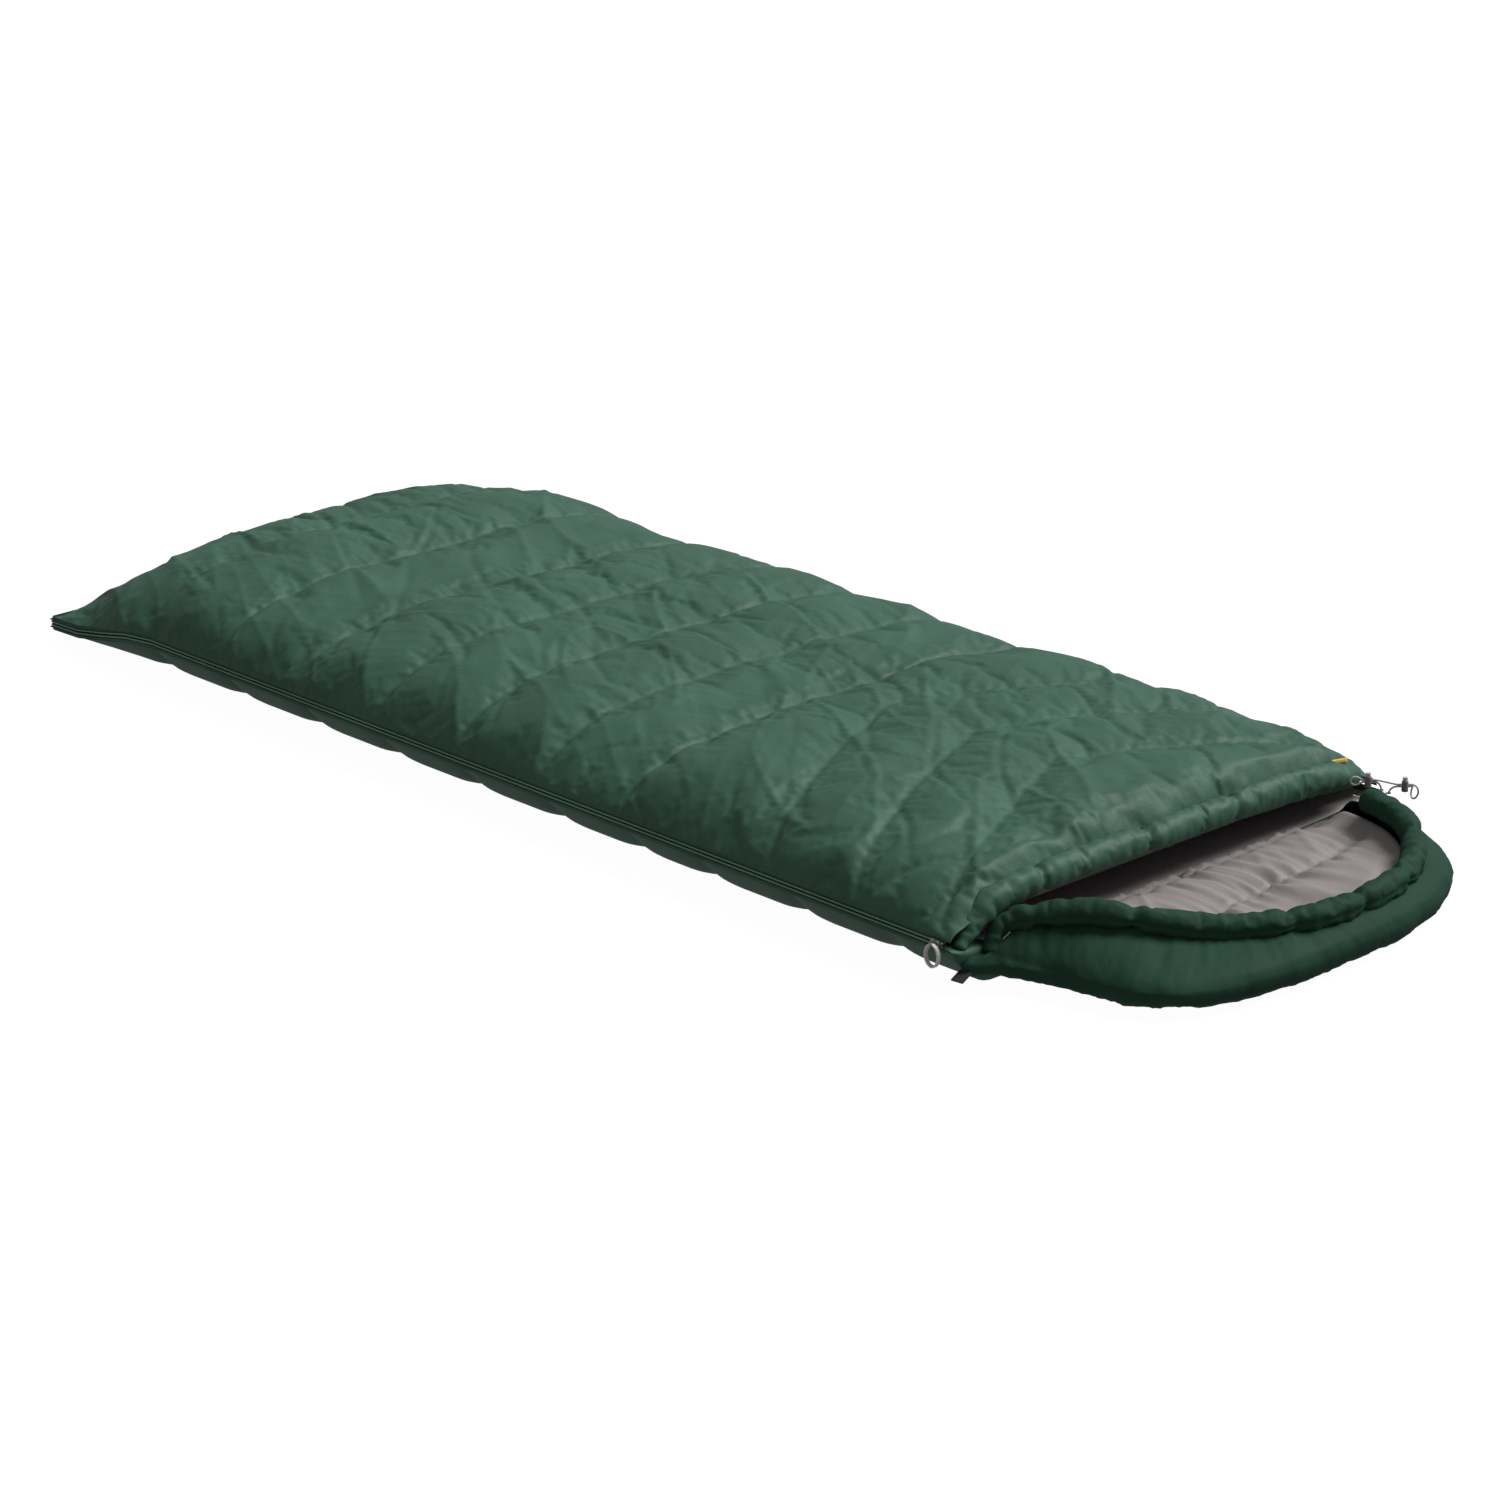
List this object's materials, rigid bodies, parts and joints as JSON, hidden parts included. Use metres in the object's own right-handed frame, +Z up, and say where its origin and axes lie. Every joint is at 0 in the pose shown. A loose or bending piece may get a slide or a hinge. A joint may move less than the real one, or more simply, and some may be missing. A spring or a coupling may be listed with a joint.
{
  "type": "sleeping bag",
  "caption": "Rectangular quilted sleeping bag with a hood, a zip along one side and round the foot, and a drawcord with sprung cord locks round the hood opening.",
  "frame": {"origin": "middle of the underside, on the ground", "axes": "+X towards the head, +Y towards the long edge without a zip, +Z up"},
  "size_m": [2.136, 0.8158, 0.17],
  "materials": {
    "green_shell": "smooth polyester taffeta, slightly shiny",
    "hood_shell": "smooth polyester taffeta, slightly shiny",
    "lining": "smooth polyester lining",
    "fill": "loose hollow-fibre insulation",
    "zip_tape": "woven zip tape",
    "zip_coil": "moulded nylon coil",
    "stop_metal": "pressed",
    "eyelet_metal": "plated",
    "spring_steel": "bright",
    "slider_metal": "cast and plated, satin",
    "pull_rubber": "off-white moulded rubber",
    "cord": "braided elastic cord",
    "lock_plastic": "moulded",
    "plunger_plastic": "moulded",
    "black_webbing": "woven hook-and-loop tab",
    "yellow_label": "woven label tape"
  },
  "bodies": {
    "base": {"base_outer_shell": "green_shell", "base_lining": "lining", "base_fill_01": "fill", "base_fill_02": "fill", "base_fill_03": "fill", "base_fill_04": "fill", "base_fill_05": "fill", "base_fill_06": "fill", "base_fill_07": "fill", "base_fill_08": "fill", "base_fill_09": "fill", "base_fill_10": "fill", "base_fill_11": "fill", "hood_outer_shell": "hood_shell", "hood_lining": "lining", "hood_fill": "fill", "hood_rim": "hood_shell", "drawcord_in_rim": "cord", "zip_tape_lower": "zip_tape", "zip_coil_lower": "zip_coil", "zip_top_stop_lower": "stop_metal", "zip_end_stop": "stop_metal", "hook_tab": "black_webbing", "cord_eyelet_1": "eyelet_metal", "cord_eyelet_2": "eyelet_metal", "drawcord": "cord"},
    "cover": {"cover_outer_shell": "green_shell", "cover_lining": "lining", "cover_fill_01": "fill", "cover_fill_02": "fill", "cover_fill_03": "fill", "cover_fill_04": "fill", "cover_fill_05": "fill", "cover_fill_06": "fill", "cover_fill_07": "fill", "cover_fill_08": "fill", "cover_fill_09": "fill", "cover_fill_10": "fill", "cover_fill_11": "fill", "neck_collar": "green_shell", "zip_baffle": "lining", "zip_tape_upper": "zip_tape", "zip_coil_upper": "zip_coil", "zip_top_stop_upper": "stop_metal", "side_tab": "yellow_label"},
    "slider": {"zip_slider": "slider_metal"},
    "pull": {"zip_pull": "pull_rubber"},
    "lock_1": {"cord_lock_1_body": "lock_plastic", "cord_lock_1_spring": "spring_steel"},
    "lock_1_button": {"cord_lock_1_plunger": "plunger_plastic"},
    "lock_2": {"cord_lock_2_body": "lock_plastic", "cord_lock_2_spring": "spring_steel"},
    "lock_2_button": {"cord_lock_2_plunger": "plunger_plastic"}
  },
  "joints": [
    {"name": "cover_fold", "type": "hinge", "parent": "base", "child": "cover", "pos_m": [0, 0.4, 0.06], "axis": [-1, 0, 0], "range_deg": [0, 155]},
    {"name": "slider_travel", "type": "slide", "parent": "base", "child": "slider", "axis": [-1, 0, 0], "range_m": [0, 1.55]},
    {"name": "pull_swing", "type": "hinge", "parent": "slider", "child": "pull", "pos_m": [0.76, -0.4112, 0.06], "axis": [-1, 0, 0], "range_deg": [0, 165]},
    {"name": "lock_1_slide", "type": "slide", "parent": "base", "child": "lock_1", "axis": [0.6909, 0.723, 0], "range_m": [0, 0.005]},
    {"name": "lock_1_press", "type": "slide", "parent": "lock_1", "child": "lock_1_button", "axis": [0, 0, -1], "range_m": [0, 0.002], "stiffness_N_per_m": 600, "deforming": ["cord_lock_1_spring"]},
    {"name": "lock_2_slide", "type": "slide", "parent": "base", "child": "lock_2", "axis": [-0.6909, -0.723, 0], "range_m": [0, 0.005]},
    {"name": "lock_2_press", "type": "slide", "parent": "lock_2", "child": "lock_2_button", "axis": [0, 0, -1], "range_m": [0, 0.002], "stiffness_N_per_m": 600, "deforming": ["cord_lock_2_spring"]}
  ]
}
